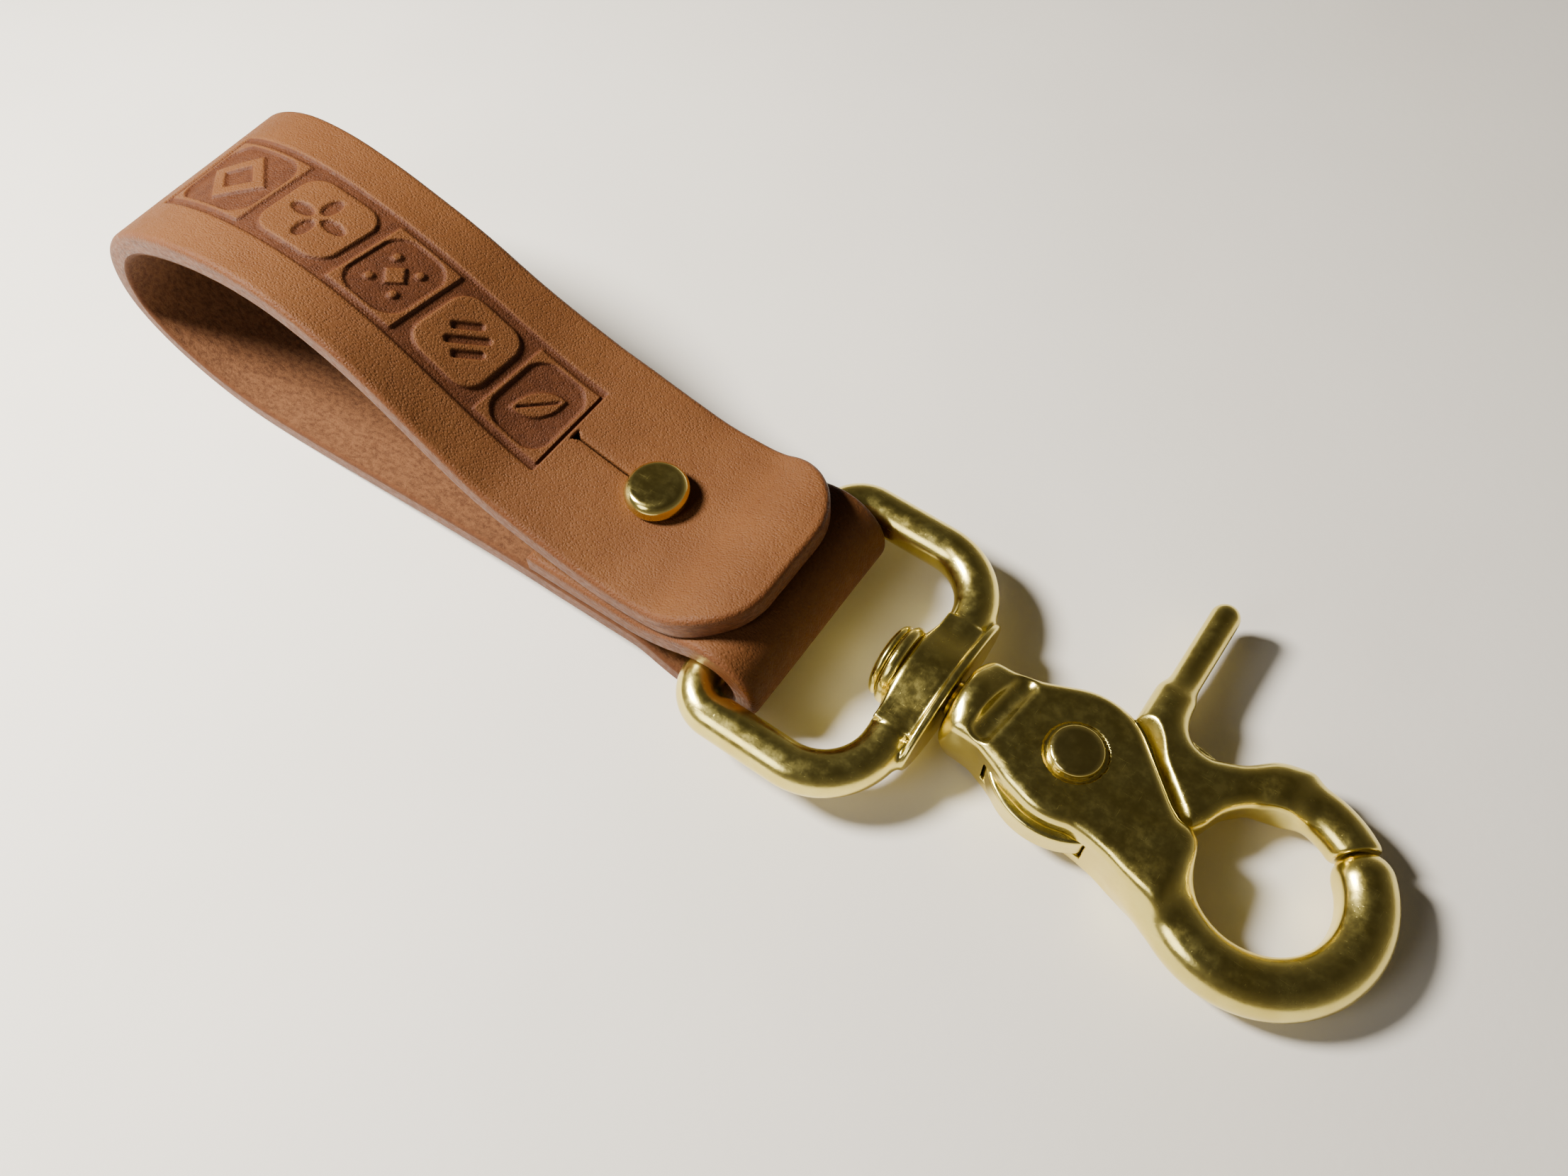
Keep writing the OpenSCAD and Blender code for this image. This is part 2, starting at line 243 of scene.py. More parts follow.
def cast(name, field, lo, hi, shift=(0, 0), cell=0.2):
    """A mesh of the surface where field is nought, moved by shift along and across the hardware."""
    lo, hi = np.array(lo, float), np.array(hi, float)
    axes = [np.arange(lo[i], hi[i] + cell, cell) for i in range(3)]
    x, y, z = np.ix_(*axes)
    f = field(x, y, z)
    total = corner_sum(f < 0)
    active = (total > 0) & (total < 8)
    number = np.full(total.shape, -1)
    number[active] = np.arange(np.count_nonzero(active))
    cells = np.argwhere(active)
    points = first_points(f, cells, lo, cell)
    start = points.copy()
    for _ in range(4):
        g = slope(field, points)
        step = field(*points.T)[:, None] * g / np.maximum((g * g).sum(1), 0.05)[:, None]
        points = start + np.clip(points - step - start, -0.8 * cell, 0.8 * cell)
    n = slope(field, points)
    n /= np.maximum(np.linalg.norm(n, axis=1), 1e-6)[:, None]
    quads = surface_quads(f, number)
    turned = from_hardware(n)
    placed = from_hardware(points + np.array([shift[0], shift[1], 0]))
    placed[:, 2] += BAR_Z
    return make_object(name, placed, quads.tolist(), turned)


# ------------------------------------------------------------- turned pieces


def rounded(profile, radii, steps=6):
    """A profile whose inner corners are rounded by the given radii."""
    out = [profile[0]]
    for before, here, after, r in zip(profile, profile[1:], profile[2:], radii):
        a, p, b = np.array(before, float), np.array(here, float), np.array(after, float)
        if r <= 0:
            out.append(tuple(p))
            continue
        u, v = (a - p) / np.linalg.norm(a - p), (b - p) / np.linalg.norm(b - p)
        r = min(r, 0.49 * np.linalg.norm(a - p), 0.49 * np.linalg.norm(b - p))
        for i in range(steps + 1):
            t = i / steps
            out.append(tuple(p + u * r * (1 - t) ** 2 + v * r * t ** 2))
    out.append(profile[-1])
    return out


def lathe(name, profile, place, turns=96):
    """A profile of (radius, height) pairs turned round its axis; place puts the points where they go."""
    ends = [abs(profile[i][0]) < 1e-9 for i in (0, -1)]
    verts, rows = [], []
    for (r, h), pole in zip(profile, [ends[0]] + [False] * (len(profile) - 2) + [ends[1]]):
        if pole:
            rows.append([len(verts)] * turns)
            verts.append((0, 0, h))
            continue
        rows.append(list(range(len(verts), len(verts) + turns)))
        for i in range(turns):
            a = 2 * math.pi * i / turns
            verts.append((r * math.cos(a), r * math.sin(a), h))
    faces = []
    for low, high in zip(rows, rows[1:]):
        for i in range(turns):
            j = (i + 1) % turns
            quad = [low[i], low[j], high[j], high[i]]
            kept = [q for n, q in enumerate(quad) if q != quad[n - 1]]
            if len(kept) > 2:
                faces.append(kept)
    return make_object(name, place(np.array(verts)), faces)


def along_snap(offset):
    """Places a turned piece on the snap's axis, its own axis pointing back to the strap."""
    def place(v):
        p = np.stack([offset - v[:, 2], v[:, 1] + SNAP_Y, v[:, 0]], 1)
        out = from_hardware(p)
        out[:, 2] += BAR_Z
        return out
    return place


def across_snap(x, z):
    def place(v):
        out = from_hardware(v + np.array([x - SNAP_BACK, SNAP_Y, z]))
        out[:, 2] += BAR_Z
        return out
    return place


# ------------------------------------------------------------------ the strap

W = 12.7
T = 3.0
STUD_X = -15.2
LOOP = [
    (-24.7, 7.0, 0), (-10.7, 7.0, 0), (-4.6, 8.6, 25), (-1.7, 9.85, 20), (0.9, 10.3, 0),
    (5.3, 5.9, -90), (0.9, 1.5, -180), (-3.2, 1.5, -180), (-10.5, 3.9, -180),
    (-20.2, 3.9, -180), (-28.2, 4.0, -178.5), (-55.2, 2.2, -175.5), (-69, 1.5, -180),
    (-83.05, 5.1, -212), (-88.5, 13.02, -270), (-82, 24.5, -323.5), (-65.5, 29.5, -360),
    (-45.2, 24.2, -387), (-31, 16, -388),
]
FLAP = [
    (-31, 16, -28), (-19.7, 12.05, -14), (-12.2, 10.8, 0), (-5.4, 11.6, 25),
    (-1.9, 13.05, 18), (1.2, 13.5, 0), (3.2, 13.5, 0),
]
CORNER_R = 8.6
GRAIN_ROUND = 0.75
FLESH_ROUND = 0.45
PANEL_X = (-79.2, -66.3, -54.4, -45.7, -36.2, -27.5)
PANEL_HALF = 6.55
CELL_HALF = 5.65
SLIT_W = 0.24
SLIT_X = -26.3
SLIT_DEPTH = 1.5
STAMP_DEPTH = 0.34
WALL_ROWS = 4


def knot_curve(knots, steps=60):
    """A smooth curve through knots of (x, z, heading in degrees)."""
    out = []
    for p, q in zip(knots, knots[1:]):
        a, b = np.array(p[:2], float), np.array(q[:2], float)
        pull = np.linalg.norm(b - a) / math.cos(math.radians((q[2] - p[2]) / 4)) ** 2
        ta = pull * np.array([math.cos(math.radians(p[2])), math.sin(math.radians(p[2]))])
        tb = pull * np.array([math.cos(math.radians(q[2])), math.sin(math.radians(q[2]))])
        u = np.arange(steps)[:, None] / steps
        out.append((2 * u**3 - 3 * u**2 + 1) * a + (u**3 - 2 * u**2 + u) * ta
                   + (3 * u**2 - 2 * u**3) * b + (u**3 - u**2) * tb)
    return np.concatenate(out + [b[None]])


def centreline():
    line = np.concatenate([knot_curve(LOOP)[:-1], knot_curve(FLAP)])
    steps = np.linalg.norm(np.diff(line, axis=0), axis=1)
    return line, np.concatenate([[0], np.cumsum(steps)])


def step_up(d, width=0.22):
    """1 inside a shape and 0 outside, with a soft wall."""
    t = np.clip(0.5 - d / width, 0, 1)
    return t * t * (3 - 2 * t)


def box2(p, q, hp, hq, r):
    a, b = np.abs(p) - hp + r, np.abs(q) - hq + r
    return np.hypot(np.maximum(a, 0), np.maximum(b, 0)) + np.minimum(np.maximum(a, b), 0) - r


def diamond(p, q, r):
    return (np.abs(p) + np.abs(q) - r) / math.sqrt(2)


def petals(p, q):
    one = lambda a, b: (np.hypot((a - 2.15) / 1.45, b / 0.8) - 1) * 0.8
    return np.minimum.reduce([one(p, q), one(-p, q), one(q, p), one(-q, p)])


def dots(p, q):
    a, b = np.abs(p) - 2.1, np.abs(q) - 2.1
    return np.minimum(np.hypot(a, b) - 0.62, diamond(p, q, 1.75))


def slanted_bars(p, q):
    a, b = (p + q) / math.sqrt(2), (p - q) / math.sqrt(2)
    bars = np.minimum.reduce([box2(a, b - k, 2.6 - 0.4 * abs(k), 0.5, 0.3) for k in (-1.9, 0, 1.9)])
    return bars


def leaf(p, q):
    a, b = (p + q) / math.sqrt(2), (p - q) / math.sqrt(2)
    body = np.maximum(np.hypot(a, b - 3.0), np.hypot(a, b + 3.0)) - 4.7
    vein = box2(a, b, 2.7, 0.16, 0.1)
    return np.maximum(body, -vein)


def two_diamonds(p, q):
    return np.maximum(diamond(p, q, 4.1), -diamond(p, q, 2.1))


MOTIFS = ((two_diamonds, False), (petals, True), (dots, False), (slanted_bars, True), (leaf, False))


def relief(s, v, marks):
    """The stamped panel's height, from 0 on the grain down to -1 at the bottom of the stamp."""
    middle, half = (marks[0] + marks[-1]) / 2, (marks[-1] - marks[0]) / 2
    level = -step_up(box2(s - middle, v, half, PANEL_HALF, 0.25))
    for (motif, raised), a, b in zip(MOTIFS, marks, marks[1:]):
        p = s - (a + b) / 2
        long_half = (b - a) / 2 - 0.35
        corner = min(2.6, long_half - 1)
        stretch = long_half / CELL_HALF
        inner = box2(p, v, long_half - 0.55, CELL_HALF - 0.55, corner)
        mark = step_up(motif(p / stretch, v), 0.3)
        if raised:
            level = level + step_up(inner, 0.35) * (1 - 0.9 * mark)
        else:
            plate = step_up(box2(p, v, long_half, CELL_HALF, 0.2))
            level = level + plate * (1 - step_up(inner) * (1 - mark)) * 0.8
    return level


def strap_stations(length, marks, slit):
    """Where the strap is cut across: closely in the stamped panel and at its ends."""
    ends = np.array([0, 0.04, 0.12, 0.25, 0.42, 0.62, 0.85, 1.15, 1.5, 2, 2.6, 3.2, 4, 5, 6, 7, 8, 9])
    runs = [ends, length - ends, np.arange(0, length, 0.5),
            np.arange(marks[0] - 1, marks[-1] + 1, 0.2), np.arange(slit[0] - 2, slit[0] + 1, 0.1)]
    s = np.unique(np.round(np.concatenate(runs), 3))
    s = s[(s >= 0) & (s <= length)]
    keep = [0]
    for i in range(1, len(s)):
        if s[i] - s[keep[-1]] > 0.035:
            keep.append(i)
    keep[-1] = len(s) - 1
    return s[keep]


def strap_widths():
    near = np.array([0, 0.04, 0.1, 0.18, 0.28, 0.4, 0.55, 0.75, 1.0, 1.4, 1.9, 2.5, 3.1, 3.8, 4.6, 5.4])
    fine = np.arange(0.4, 7.3, 0.2)
    middle = np.array([0, 0.05, 0.1, 0.15, 0.2, 0.28])
    half = np.unique(np.round(np.concatenate([W - near, fine, middle]), 3))
    return np.concatenate([-half[::-1], half[1:]]) / W


def strap_half_width(s, length):
    """Half the strap's width, which the flap's corners make less at its end."""
    into = np.maximum(s - (length - CORNER_R), 0)
    return W - CORNER_R + np.sqrt(np.maximum(CORNER_R**2 - into**2, 0))


def edge_distance(s, v, length):
    a, b = s - (length - CORNER_R), np.abs(v) - (W - CORNER_R)
    corner = CORNER_R - np.hypot(np.maximum(a, 0), np.maximum(b, 0))
    plain = np.minimum(length - s, W - np.abs(v))
    return np.maximum(np.minimum(np.where((a > 0) & (b > 0), corner, plain), s), 0)


def roll(d, r):
    """How far a rounded edge drops at the distance d from the outline."""
    inside = np.clip(r - d, 0, r)
    return r - np.sqrt(r * r - inside * inside)


def ripple(s, v, seed):
    """Slow unevenness of the hide, in mm, from a few fixed waves."""
    out = 0
    for i in range(6):
        a = seed + 1.7 * i
        out = out + math.sin(a * 3.1) * np.sin(s * (0.21 + 0.13 * i) + v * math.sin(a) * 0.6 + a)
    return out / 6


def bump_between(x, a, b, c, d):
    """0 before a, 1 from b to c and 0 after d, smoothly."""
    up, down = np.clip((x - a) / (b - a), 0, 1), np.clip((d - x) / (d - c), 0, 1)
    return up * up * (3 - 2 * up) * down * down * (3 - 2 * down)


def lie(s, v, turn_s):
    """How far the strap's two edges are set off the plain band, across and up, from the turn at turn_s to
    the stud: the edge on the lever's side lower and the other one higher."""
    far = (v + W) / (2 * W)
    far_part = bump_between(s - turn_s, 13, 45, 53, 77) * far
    near_part = bump_between(s - turn_s, 20, 45, 49, 72) * (1 - far)
    across = 0.3 * near_part - 0.4 * far_part
    up = 1.9 * near_part - 2.6 * far_part
    return across, up


def build_strap():
    line, sums = centreline()
    length = sums[-1]
    left = int(np.argmin(line[:, 0]))
    to_s = lambda x: float(np.interp(x, line[left:, 0], sums[left:]))
    marks = [to_s(x) for x in PANEL_X]
    slit = (to_s(SLIT_X), to_s(STUD_X))
    s = strap_stations(length, marks, slit)
    u = strap_widths()
    cx, cz = np.interp(s, sums, line[:, 0]), np.interp(s, sums, line[:, 1])
    tangent = np.gradient(line, sums, axis=0)
    tx, tz = np.interp(s, sums, tangent[:, 0]), np.interp(s, sums, tangent[:, 1])
    size = np.hypot(tx, tz)
    nx, nz = -tz / size, tx / size
    S = np.repeat(s[:, None], len(u), 1)
    V = strap_half_width(s, length)[:, None] * u[None, :]
    D = edge_distance(S, V, length)
    height = relief(S, V, marks)
    groove = step_up(np.maximum(np.abs(V) - SLIT_W / 2, np.maximum(slit[0] - S, S - slit[1])), 0.16)
    hole = step_up(np.maximum(np.abs(V) * 0.85 + (S - slit[0]) * 0.5 - 0.15, slit[0] - 0.75 - S), 0.16)
    cut = np.maximum(groove, hole)
    soft = 0.05 * ripple(S, V, 2.0)
    lip = -0.12 * np.exp(-(np.abs(V) / 0.5) ** 2) * (S > slit[0]) * (S < slit[1])
    grain_h = T / 2 - roll(D, GRAIN_ROUND) + STAMP_DEPTH * height + soft + lip - SLIT_DEPTH * cut
    flesh_h = -T / 2 + roll(D, FLESH_ROUND) + 0.04 * ripple(S * 3, V * 3, 5.0)
    across, up = lie(S, V, sums[left])
    verts, flats = [], []

    def layer(h):
        x = cx[:, None] + nx[:, None] * h
        z = cz[:, None] + nz[:, None] * h + up
        verts.append(np.stack([x, V + across, np.maximum(z, 0.0)], -1).reshape(-1, 3))
        flats.append(np.stack([S, V, h], -1).reshape(-1, 3))

    layer(grain_h)
    layer(flesh_h)
    n, m = len(s), len(u)
    number = np.arange(n * m).reshape(n, m)
    a = np.stack([number[:-1, :-1], number[1:, :-1], number[1:, 1:], number[:-1, 1:]], -1).reshape(-1, 4)
    below = a[:, ::-1] + n * m
    rim = np.concatenate([number[:, 0], number[-1, 1:], number[-2::-1, -1], number[0, -2:0:-1]])
    # Rows of the cut edge between the two sides.
    top = verts[0][rim]
    low = verts[1][rim]
    flat_top, flat_low = flats[0][rim], flats[1][rim]
    rows = [rim]
    count = 2 * n * m
    for k in range(1, WALL_ROWS):
        t = k / WALL_ROWS
        verts.append(top * (1 - t) + low * t)
        flats.append(flat_top * (1 - t) + flat_low * t)
        rows.append(np.arange(count, count + len(rim)))
        count += len(rim)
    rows.append(rim + n * m)
    walls = []
    for high, under in zip(rows, rows[1:]):
        walls.append(np.stack([high, under, np.roll(under, -1), np.roll(high, -1)], -1))
    walls = np.concatenate(walls)
    faces = np.concatenate([a, below, walls])
    obj = make_object("leather_strap", np.concatenate(verts), faces.tolist())
    pad = count - 2 * n * m
    edge = np.concatenate([D.ravel(), D.ravel(), np.zeros(pad)])
    sunk = np.concatenate([-height.ravel(), np.zeros(n * m + pad)])
    cuts = np.concatenate([cut.ravel(), np.zeros(n * m + pad)])
    point_attribute(obj, "flat", "FLOAT_VECTOR", np.concatenate(flats))
    point_attribute(obj, "edge", "FLOAT", edge)
    point_attribute(obj, "sunk", "FLOAT", sunk)
    point_attribute(obj, "cut", "FLOAT", cuts)
    slots = np.concatenate([np.zeros(len(a)), np.ones(len(below)), np.full(len(walls), 2)])
    for material in (grain_leather(), flesh_leather(), burnished_edge()):
        obj.data.materials.append(material)
    obj.data.polygons.foreach_set("material_index", slots.astype(int))
    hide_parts("strap")
    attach(obj, "strap")


# ------------------------------------------------------------------ materials


class Shader:
    """A material's node tree, with short calls for the nodes used here."""

    def __init__(self, name):
        self.material = bpy.data.materials.new(name)
        self.material.use_nodes = True
        self.tree = self.material.node_tree
        self.out = self.tree.nodes["Principled BSDF"]

    def new(self, kind, **settings):
        node = self.tree.nodes.new(kind)
        for key, value in settings.items():
            setattr(node, key, value)
        return node

    def link(self, a, b):
        self.tree.links.new(a, b)

    def feed(self, socket, value):
        if hasattr(value, "is_output"):
            self.link(value, socket)
        else:
            socket.default_value = value

    def object_mm(self, stretch=(1, 1, 1)):
        coords = self.new("ShaderNodeTexCoord")
        scale = self.new("ShaderNodeMapping")
        scale.inputs["Scale"].default_value = [1000 * k for k in stretch]
        self.link(coords.outputs["Object"], scale.inputs["Vector"])
        return scale.outputs["Vector"]

    def attribute(self, name, vector=False):
        node = self.new("ShaderNodeAttribute", attribute_name=name)
        return node.outputs["Vector" if vector else "Fac"]

    def scaled(self, vector, stretch, turn=0.0):
        node = self.new("ShaderNodeMapping")
        node.inputs["Scale"].default_value = stretch
        node.inputs["Rotation"].default_value = (0, 0, turn)
        self.link(vector, node.inputs["Vector"])
        return node.outputs["Vector"]

    def noise(self, vector, scale, detail=3.0, rough=0.55):
        node = self.new("ShaderNodeTexNoise")
        self.link(vector, node.inputs["Vector"])
        node.inputs["Scale"].default_value = scale
        node.inputs["Detail"].default_value = detail
        node.inputs["Roughness"].default_value = rough
        return node.outputs["Fac"]

    def cells(self, vector, scale, feature="F1"):
        node = self.new("ShaderNodeTexVoronoi", feature=feature)
        self.link(vector, node.inputs["Vector"])
        node.inputs["Scale"].default_value = scale
        return node.outputs["Distance"]

    def span(self, value, a, b, low=0.0, high=1.0):
        node = self.new("ShaderNodeMapRange", interpolation_type="SMOOTHSTEP")
        self.link(value, node.inputs["Value"])
        for key, number in (("From Min", a), ("From Max", b), ("To Min", low), ("To Max", high)):
            node.inputs[key].default_value = number
        return node.outputs["Result"]

    def math(self, operation, a, b=0.0):
        node = self.new("ShaderNodeMath", operation=operation)
        self.feed(node.inputs[0], a)
        self.feed(node.inputs[1], b)
        return node.outputs[0]

    def mix(self, factor, a, b, kind="MIX"):
        node = self.new("ShaderNodeMix", data_type="RGBA", blend_type=kind)
        self.feed(node.inputs["Factor"], factor)
        self.feed(node.inputs["A"], a if hasattr(a, "is_output") else (*a, 1))
        self.feed(node.inputs["B"], b if hasattr(b, "is_output") else (*b, 1))
        return node.outputs["Result"]

    def bump(self, height, distance, strength=1.0, under=None):
        node = self.new("ShaderNodeBump")
        node.inputs["Strength"].default_value = strength
        node.inputs["Distance"].default_value = distance * MM
        self.link(height, node.inputs["Height"])
        if under is not None:
            self.link(under, node.inputs["Normal"])
        return node.outputs["Normal"]

    def set(self, **values):
        names = {"color": "Base Color", "rough": "Roughness", "metal": "Metallic", "normal": "Normal",
                 "spec": "Specular IOR Level", "coat": "Coat Weight", "coat_rough": "Coat Roughness",
                 "sheen": "Sheen Weight", "sheen_rough": "Sheen Roughness"}
        for key, value in values.items():
            self.feed(self.out.inputs[names[key]], value)
        return self.material


def leather_colours(m, flat, light, dark, red):
    broad = m.noise(m.scaled(flat, (0.09, 0.12, 0.1)), 1.0, 3)
    fine = m.noise(flat, 1.6, 4, 0.6)
    base = m.mix(m.span(broad, 0.3, 0.7), light, dark)
    return m.mix(m.span(fine, 0.42, 0.75, 0, 0.45), base, red)


def grain_leather():
    m = Shader("leather_grain")
    flat = m.attribute("flat", True)
    edge, sunk, cut = m.attribute("edge"), m.attribute("sunk"), m.attribute("cut")
    base = leather_colours(m, flat, (0.138, 0.053, 0.0158), (0.116, 0.043, 0.0123), (0.106, 0.0345, 0.0095))
    pores = m.cells(flat, 3.6)
    base = m.mix(m.span(pores, 0.0, 0.35, 0.35, 0), base, (0.075, 0.023, 0.007))
    # Stamped recesses: partly the pressed leather's own darker, mottled tone, and partly painted shade that
    # deepens the recesses by their depth.
    mottle = m.noise(flat, 0.7, 5, 0.65)
    stamp_tone_and_shade = m.mix(m.span(mottle, 0.3, 0.7), (0.08, 0.025, 0.0085), (0.054, 0.0155, 0.0052))
    base = m.mix(m.span(sunk, 0.12, 0.75, 0, 0.9), base, stamp_tone_and_shade)
    # Painted shade: the sloping walls of the stamped marks are darkened further, standing in for the shade in
    # the creases.
    wall = m.math("MULTIPLY", m.span(sunk, 0.15, 0.5), m.span(sunk, 0.95, 0.6))
    base = m.mix(m.math("MULTIPLY", wall, 0.5), base, (0.065, 0.016, 0.005))
    worn = m.noise(m.scaled(flat, (0.8, 2.0, 1)), 1.0, 4)
    rim = m.math("MULTIPLY", m.span(edge, 0.75, 0.1), m.span(worn, 0.2, 0.7, 0.4, 1))
    base = m.mix(m.math("MULTIPLY", rim, 0.75), base, (0.11, 0.034, 0.0105))
    # Painted shade: the slit is painted nearly black, standing in for the shade inside the cut.
    base = m.mix(m.span(cut, 0.02, 0.6), base, (0.03, 0.01, 0.004))
    patches = m.span(m.noise(flat, 1.1, 4), 0.3, 0.7, 0.52, 0.64)
    rough = m.math("ADD", patches, m.span(edge, 0.9, 0.1, 0, -0.12))
    pebble = m.cells(m.scaled(flat, (1, 1.25, 1)), 3.0)
    grain = m.math("ADD", m.math("MULTIPLY", m.span(pebble, 0.0, 0.6), 0.6), m.noise(flat, 4.5, 4, 0.65))
    normal = m.bump(grain, 0.085, 0.95)
    slow = m.noise(m.scaled(flat, (0.6, 0.8, 1), 0.4), 0.9, 4, 0.6)
    normal = m.bump(slow, 0.12, 0.6, normal)
    return m.set(color=base, rough=rough, normal=normal, spec=0.16)


def flesh_leather():
    m = Shader("leather_flesh")
    flat = m.attribute("flat", True)
    fibre = m.noise(m.scaled(flat, (0.7, 1.3, 1)), 1.5, 6, 0.7)
    fuzz = m.noise(flat, 5.0, 5, 0.7)
    base = m.mix(m.span(fibre, 0.36, 0.64), (0.066, 0.024, 0.0095), (0.145, 0.06, 0.0245))
    base = m.mix(m.span(fuzz, 0.35, 0.7, 0, 0.5), base, (0.18, 0.083, 0.036))
    edge = m.attribute("edge")
    base = m.mix(m.span(edge, 0.7, 0.05, 0, 0.7), base, (0.085, 0.028, 0.0095))
    height = m.math("ADD", fibre, m.math("MULTIPLY", fuzz, 0.5))
    normal = m.bump(height, 0.28, 0.8)
    return m.set(color=base, rough=0.85, normal=normal, spec=0.12, sheen=0.03, sheen_rough=0.5)


def burnished_edge():
    m = Shader("leather_edge")
    flat = m.attribute("flat", True)
    streak = m.noise(m.scaled(flat, (0.35, 1, 3.5)), 1.3, 5, 0.6)
    base = m.mix(m.span(streak, 0.35, 0.68), (0.14, 0.048, 0.016), (0.075, 0.023, 0.0072))
    rough = m.span(m.noise(flat, 2.0, 3), 0.3, 0.7, 0.42, 0.58)
    normal = m.bump(m.noise(m.scaled(flat, (0.6, 1, 2.2)), 2.2, 4), 0.12, 0.7)
    return m.set(color=base, rough=rough, normal=normal, spec=0.2)


def brass(name, light, dark, smooth, worn, pits):
    m = Shader(name)
    where = m.object_mm()
    broad = m.noise(where, 0.22, 4, 0.6)
    fine = m.noise(where, 2.6, 4, 0.6)
    base = m.mix(m.span(broad, 0.3, 0.72), light, dark)
    base = m.mix(m.span(fine, 0.52, 0.82, 0, 0.25), base, (dark[0] * 0.8, dark[1] * 0.74, dark[2] * 0.62))
    scratch = m.noise(m.scaled(where, (0.22, 6.0, 3.0), 0.6), 1.6, 2)
    cross = m.noise(m.scaled(where, (5.0, 0.25, 3.0), -0.35), 1.5, 2)
    lines = m.math("ADD", m.span(scratch, 0.68, 0.74), m.span(cross, 0.69, 0.75))
    rough = m.span(m.noise(where, 0.8, 5, 0.65), 0.32, 0.7, smooth, worn)
    rough = m.math("ADD", rough, m.math("MULTIPLY", lines, 0.06))
    normal = m.bump(m.noise(where, 5.0, 3, 0.6), 0.012 * pits, 0.5)
    normal = m.bump(m.noise(where, 0.6, 2, 0.5), 0.05 * pits, 0.3, normal)
    normal = m.bump(lines, 0.004, 0.5, normal)
    return m.set(color=base, rough=rough, normal=normal, metal=1.0)


def spring_steel():
    m = Shader("drawn_wire")
    where = m.object_mm()
    streak = m.noise(m.scaled(where, (1, 1, 4)), 3.0, 4)
    base = m.mix(m.span(streak, 0.3, 0.7), (0.62, 0.61, 0.6), (0.42, 0.41, 0.4))
    rough = m.span(m.noise(where, 6.0, 3), 0.3, 0.7, 0.24, 0.4)
    return m.set(color=base, rough=rough, normal=m.bump(streak, 0.01, 0.6), metal=1.0)


def paper():
    m = Shader("backdrop_paper")
    where = m.object_mm()
    tone = m.noise(where, 0.02, 3)
    base = m.mix(m.span(tone, 0.3, 0.7), (0.80, 0.765, 0.70), (0.765, 0.73, 0.665))
    normal = m.bump(m.noise(where, 0.8, 4), 0.05, 0.4)
    return m.set(color=base, rough=0.75, normal=normal, spec=0.3)


# --------------------------------------------------------------- brass pieces

BAR_R = 2.5
ARM_Y = 15.75
EYE_FRONT = 19.95
EYE_IN, EYE_OUT = 17.2, 23.1
POST_R = 1.95


def eye_field(x, y, z):
    """A bar bent to a D, its front beaten square about the boss that the rivet turns in."""
    px, py = x - EYE_FRONT / 2, np.abs(y)
    r = np.where(px > 0, 7.5, 3.5)
    a, b = np.abs(px) - EYE_FRONT / 2 + r, py - ARM_Y + r
    ring = np.hypot(np.maximum(a, 0), np.maximum(b, 0)) + np.minimum(np.maximum(a, b), 0) - r
    bar = np.hypot(ring, z) - BAR_R
    middle = (EYE_IN + EYE_OUT) / 2
    half = (EYE_OUT - EYE_IN) / 2
    across = np.abs(y - SNAP_Y)
    lean = 0.1 * np.maximum(across - 2, 0)
    block = slab(within(np.abs(x - middle) - half + 0.45, across - 7.5), z, 2.95 - lean, 0.35)
    boss = slab(np.hypot(across * 0.8, z) - 3.9, x - middle + 0.45, half - 0.35, 0.9)
    rim = slab(np.hypot(across * 0.42, z) - 4.2, x - EYE_OUT + 0.5, 0.45, 0.3)
    whole = meet(bar, block, 0.35)
    whole = meet(whole, boss, 1.6)
    whole = meet(whole, rim, 0.5)
    bore = np.hypot(y - SNAP_Y, z) - POST_R
    return carve(whole, within(bore, 10 - x), 0.25)


PIVOT_X = 37.55
HUB_R = 8.6
HUB_Z = 1.65
SLOT_R = 8.85
SLOT_Z = 1.75
BORE_END = 28.6
CHEEK_Z = 4.2
CHEEK_R = 7.6
HOOK = (59, 0.1)
HOOK_R = 9.9
HOOK_BAR = 3.05
SEAM = (49.2, -0.3)


def polar(centre, r, degrees):
    a = math.radians(degrees)
    return (centre[0] + r * math.cos(a), centre[1] + r * math.sin(a))


def cheek_outline():
    dx, dy = SEAM[0] - PIVOT_X, SEAM[1]
    tangent = math.degrees(math.acos(CHEEK_R / math.hypot(dx, dy)) + math.atan2(dy, dx))
    top = [polar((PIVOT_X, 0), CHEEK_R, a) for a in np.linspace(112, tangent, 10)]
    under = [polar((PIVOT_X, 0), CHEEK_R, a) for a in np.linspace(-66, -112, 8)]
    return ([(25.6, 4.5), (28, 4.7), (31, 5.4), (33.2, 6.4)] + top
            + [SEAM, (50.3, -0.3), (51.3, -0.9), (51.7, -2.1), (51.8, -5.2), (51.2, -8.6),
               (48.9, -8.5), (46.8, -8.1), (44.9, -7.5), (42.8, -7.1)]
            + under + [(32.9, -6.5), (31, -5.6), (28.9, -4.8), (25.6, -4.4)])


CHEEKS = Plan(cheek_outline(), 0.4)


